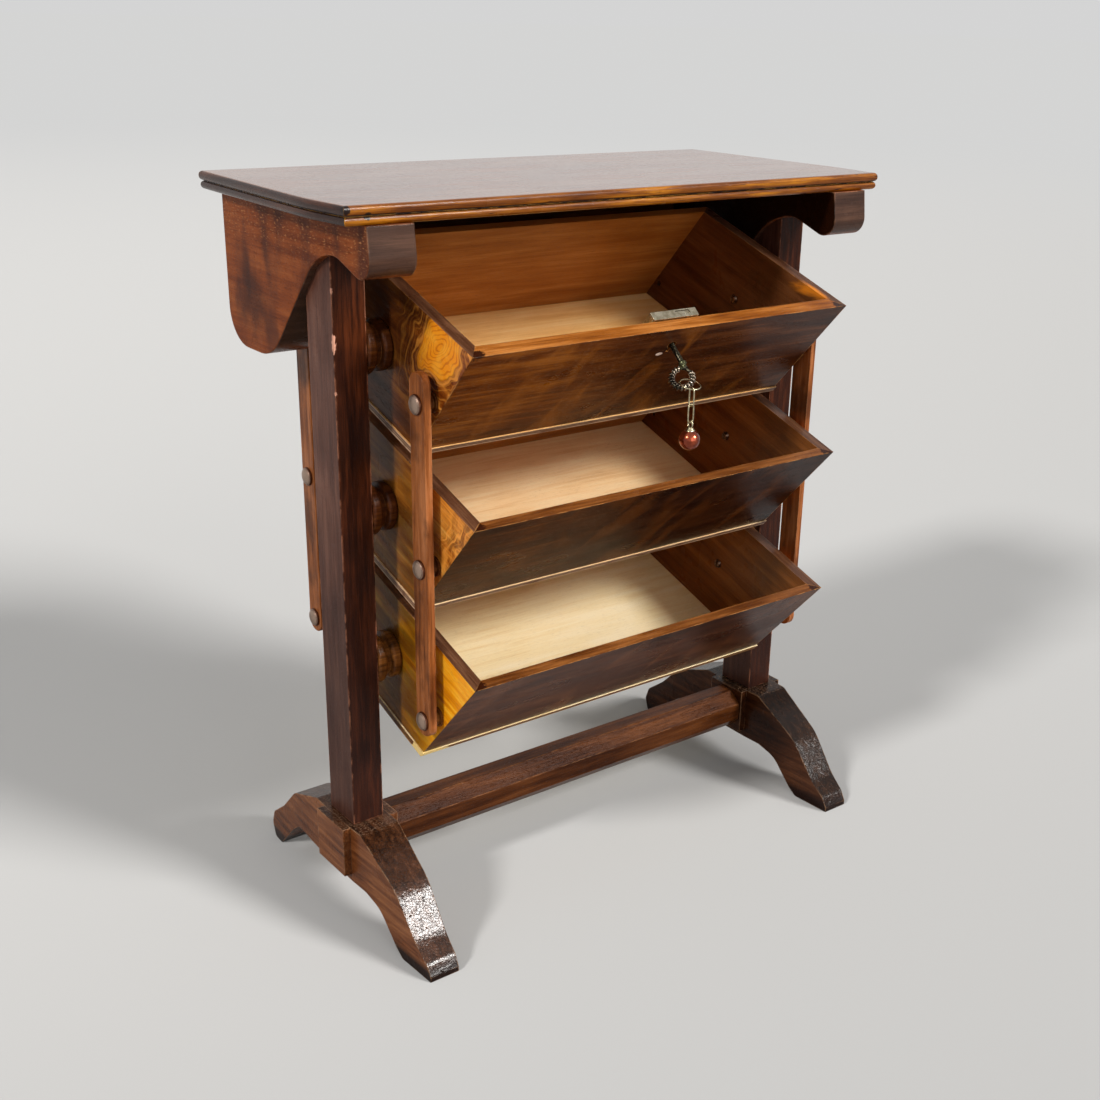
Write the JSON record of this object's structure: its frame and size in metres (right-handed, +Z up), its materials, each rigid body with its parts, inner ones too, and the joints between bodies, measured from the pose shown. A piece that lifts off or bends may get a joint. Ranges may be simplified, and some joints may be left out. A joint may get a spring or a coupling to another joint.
{
  "type": "tilting tray sewing stand",
  "caption": "Freestanding wooden sewing stand: posts on scrolled feet carry a moulded top, and linked lean-fronted trays tilt together between them; the top tray has a lock with key and charm",
  "frame": {"origin": "on the floor, at the middle of the bounding box", "axes": "+X to the right as seen from the front, +Y to the back, +Z up; the key and the tray fronts face -Y"},
  "size_m": [0.5318, 0.3114, 0.6],
  "materials": {
    "walnut": "old dark walnut or mahogany with a worn glossy varnish",
    "plywood": "pale thin plywood, bare inside, laminated edge showing",
    "steel": "bright worn steel lock",
    "screw_steel": "dull domed and slotted screws",
    "iron": "blackened key, bow bound with wire",
    "silver_wire": "silvery chain and cap",
    "copper_ball": "reddish copper-coloured glossy bead"
  },
  "bodies": {
    "stand": {"apron_left": "walnut", "apron_right": "walnut", "back_rail": "walnut", "foot_cheeks_left": "walnut", "foot_cheeks_right": "walnut", "foot_left": "walnut", "foot_right": "walnut", "pivot_screws_left": "screw_steel", "pivot_screws_right": "screw_steel", "post_left": "walnut", "post_right": "walnut", "stretcher": "walnut", "top_board": "walnut"},
    "top_tray": {"tray_top_back": "walnut", "tray_top_bosses": "walnut", "tray_top_floor": "plywood", "tray_top_front": "walnut", "tray_top_link_screws": "screw_steel", "tray_top_link_spacers": "walnut", "tray_top_side_left": "walnut", "tray_top_side_right": "walnut", "lock_case": "steel", "lock_plate": "steel"},
    "middle_tray": {"tray_middle_back": "walnut", "tray_middle_bosses": "walnut", "tray_middle_floor": "plywood", "tray_middle_front": "walnut", "tray_middle_link_screws": "screw_steel", "tray_middle_link_spacers": "walnut", "tray_middle_side_left": "walnut", "tray_middle_side_right": "walnut"},
    "bottom_tray": {"tray_bottom_back": "walnut", "tray_bottom_bosses": "walnut", "tray_bottom_floor": "plywood", "tray_bottom_front": "walnut", "tray_bottom_link_screws": "screw_steel", "tray_bottom_link_spacers": "walnut", "tray_bottom_side_left": "walnut", "tray_bottom_side_right": "walnut"},
    "back_left_bar": {"link_back_left": "walnut"},
    "back_right_bar": {"link_back_right": "walnut"},
    "front_left_bar": {"link_front_left": "walnut"},
    "front_right_bar": {"link_front_right": "walnut"},
    "bolt": {"lock_bolt": "steel"},
    "key_body": {"key": "iron", "key_winding": "iron", "key_loop": "silver_wire"},
    "upper_link": {"chain_link_upper": "silver_wire"},
    "lower_link": {"chain_link_lower": "silver_wire"},
    "charm": {"charm_cap": "silver_wire", "charm_ball": "copper_ball"}
  },
  "joints": [
    {"name": "tray_top_tilt", "type": "hinge", "parent": "stand", "child": "top_tray", "pos_m": [0, -0.00133, 0.484], "axis": [-1, 0, 0], "range_deg": [-9, 42.1]},
    {"name": "tray_middle_tilt", "type": "hinge", "parent": "stand", "child": "middle_tray", "pos_m": [0, -0.00133, 0.355], "axis": [-1, 0, 0], "range_deg": [-9, 42.1]},
    {"name": "tray_bottom_tilt", "type": "hinge", "parent": "stand", "child": "bottom_tray", "pos_m": [0, -0.00133, 0.226], "axis": [-1, 0, 0], "range_deg": [-9, 42.1]},
    {"name": "front_left_bar_turn", "type": "hinge", "parent": "top_tray", "child": "front_left_bar", "pos_m": [-0.1996, -0.07422, 0.45476], "axis": [-1, 0, 0], "range_deg": [-42.1, 9]},
    {"name": "front_right_bar_turn", "type": "hinge", "parent": "top_tray", "child": "front_right_bar", "pos_m": [0.1996, -0.07422, 0.45476], "axis": [-1, 0, 0], "range_deg": [-42.1, 9]},
    {"name": "back_left_bar_turn", "type": "hinge", "parent": "top_tray", "child": "back_left_bar", "pos_m": [-0.1996, 0.10468, 0.48203], "axis": [-1, 0, 0], "range_deg": [-42.1, 9]},
    {"name": "back_right_bar_turn", "type": "hinge", "parent": "top_tray", "child": "back_right_bar", "pos_m": [0.1996, 0.10468, 0.48203], "axis": [-1, 0, 0], "range_deg": [-42.1, 9]},
    {"name": "key_turn", "type": "hinge", "parent": "top_tray", "child": "key_body", "pos_m": [0.0065, -0.11421, 0.48257], "axis": [0, -0.742, -0.6704], "range_deg": [0, 90]},
    {"name": "bolt_slide", "type": "slide", "parent": "top_tray", "child": "bolt", "axis": [0, -0.6704, 0.742], "range_m": [0, 0.015]},
    {"name": "chain_swing", "type": "hinge", "parent": "key_body", "child": "upper_link", "pos_m": [0.00031, -0.14727, 0.45457], "axis": [1, 0, 0], "range_deg": [-40, 40]},
    {"name": "lower_link_swing", "type": "hinge", "parent": "upper_link", "child": "lower_link", "pos_m": [0.00031, -0.14727, 0.44205], "axis": [0, 1, 0], "range_deg": [-30, 30]},
    {"name": "charm_swing", "type": "hinge", "parent": "lower_link", "child": "charm", "pos_m": [0.00031, -0.14727, 0.42887], "axis": [1, 0, 0], "range_deg": [-30, 30]}
  ],
  "couplings": [
    {"joint": "tray_middle_tilt", "follows": "tray_top_tilt", "ratio": 1},
    {"joint": "tray_bottom_tilt", "follows": "tray_top_tilt", "ratio": 1},
    {"joint": "front_left_bar_turn", "follows": "tray_top_tilt", "ratio": -1},
    {"joint": "front_right_bar_turn", "follows": "tray_top_tilt", "ratio": -1},
    {"joint": "back_left_bar_turn", "follows": "tray_top_tilt", "ratio": -1},
    {"joint": "back_right_bar_turn", "follows": "tray_top_tilt", "ratio": -1},
    {"joint": "bolt_slide", "follows": "key_turn", "m_per_rad": 0.0095493}
  ]
}
